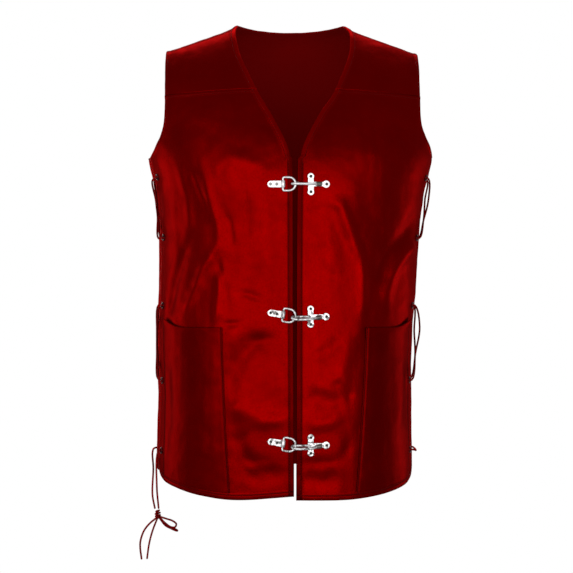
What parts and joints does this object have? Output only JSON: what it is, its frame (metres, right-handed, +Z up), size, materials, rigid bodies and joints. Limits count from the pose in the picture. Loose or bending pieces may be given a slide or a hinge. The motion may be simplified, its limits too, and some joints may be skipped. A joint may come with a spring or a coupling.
{
  "type": "lace-up leather vest",
  "caption": "Sleeveless red leather vest with a V neck, hook-and-ring clasps down the front, patch pockets and lacing through eyelets at both sides, filled out as worn.",
  "frame": {"origin": "midway between the wearer's shoulders, on the line over them where the front meets the back: where the shoulders hold the vest up", "axes": "+Z up, -Y out of the front, +X towards the wearer's left"},
  "size_m": [0.4258, 0.2445, 0.7669],
  "materials": {
    "leather": "smooth, waxed, semi-gloss",
    "eyelet": "gloss",
    "clasp": "polished",
    "rivet": "polished",
    "lace": "waxed"
  },
  "bodies": {
    "root": {"front_right": "leather", "front_left": "leather", "front_right_yoke": "leather", "front_left_yoke": "leather", "back": "leather", "pocket_right": "leather", "pocket_left": "leather", "eyelet_front_right_1": "eyelet", "eyelet_front_right_2": "eyelet", "eyelet_front_right_3": "eyelet", "eyelet_front_right_4": "eyelet", "eyelet_front_right_5": "eyelet", "eyelet_front_left_1": "eyelet", "eyelet_front_left_2": "eyelet", "eyelet_front_left_3": "eyelet", "eyelet_front_left_4": "eyelet", "eyelet_front_left_5": "eyelet", "eyelet_back_right_1": "eyelet", "eyelet_back_right_2": "eyelet", "eyelet_back_right_3": "eyelet", "eyelet_back_right_4": "eyelet", "eyelet_back_right_5": "eyelet", "eyelet_back_left_1": "eyelet", "eyelet_back_left_2": "eyelet", "eyelet_back_left_3": "eyelet", "eyelet_back_left_4": "eyelet", "eyelet_back_left_5": "eyelet", "clasp_top_strap_plate": "clasp", "clasp_top_ring": "clasp", "clasp_top_hook_plate": "clasp", "clasp_top_hook": "clasp", "clasp_middle_strap_plate": "clasp", "clasp_middle_ring": "clasp", "clasp_middle_hook_plate": "clasp", "clasp_middle_hook": "clasp", "clasp_bottom_strap_plate": "clasp", "clasp_bottom_ring": "clasp", "clasp_bottom_hook_plate": "clasp", "clasp_bottom_hook": "clasp", "clasp_top_strap_rivet_1": "rivet", "clasp_top_strap_rivet_2": "rivet", "clasp_middle_strap_rivet_1": "rivet", "clasp_middle_strap_rivet_2": "rivet", "clasp_bottom_strap_rivet_1": "rivet", "clasp_bottom_strap_rivet_2": "rivet", "clasp_top_hook_rivet_1": "rivet", "clasp_top_hook_rivet_2": "rivet", "clasp_top_hook_rivet_3": "rivet", "clasp_middle_hook_rivet_1": "rivet", "clasp_middle_hook_rivet_2": "rivet", "clasp_middle_hook_rivet_3": "rivet", "clasp_bottom_hook_rivet_1": "rivet", "clasp_bottom_hook_rivet_2": "rivet", "clasp_bottom_hook_rivet_3": "rivet", "lace_left": "lace", "lace_left_knot": "lace", "lace_right": "lace", "lace_right_bow": "lace"}
  },
  "joints": []
}
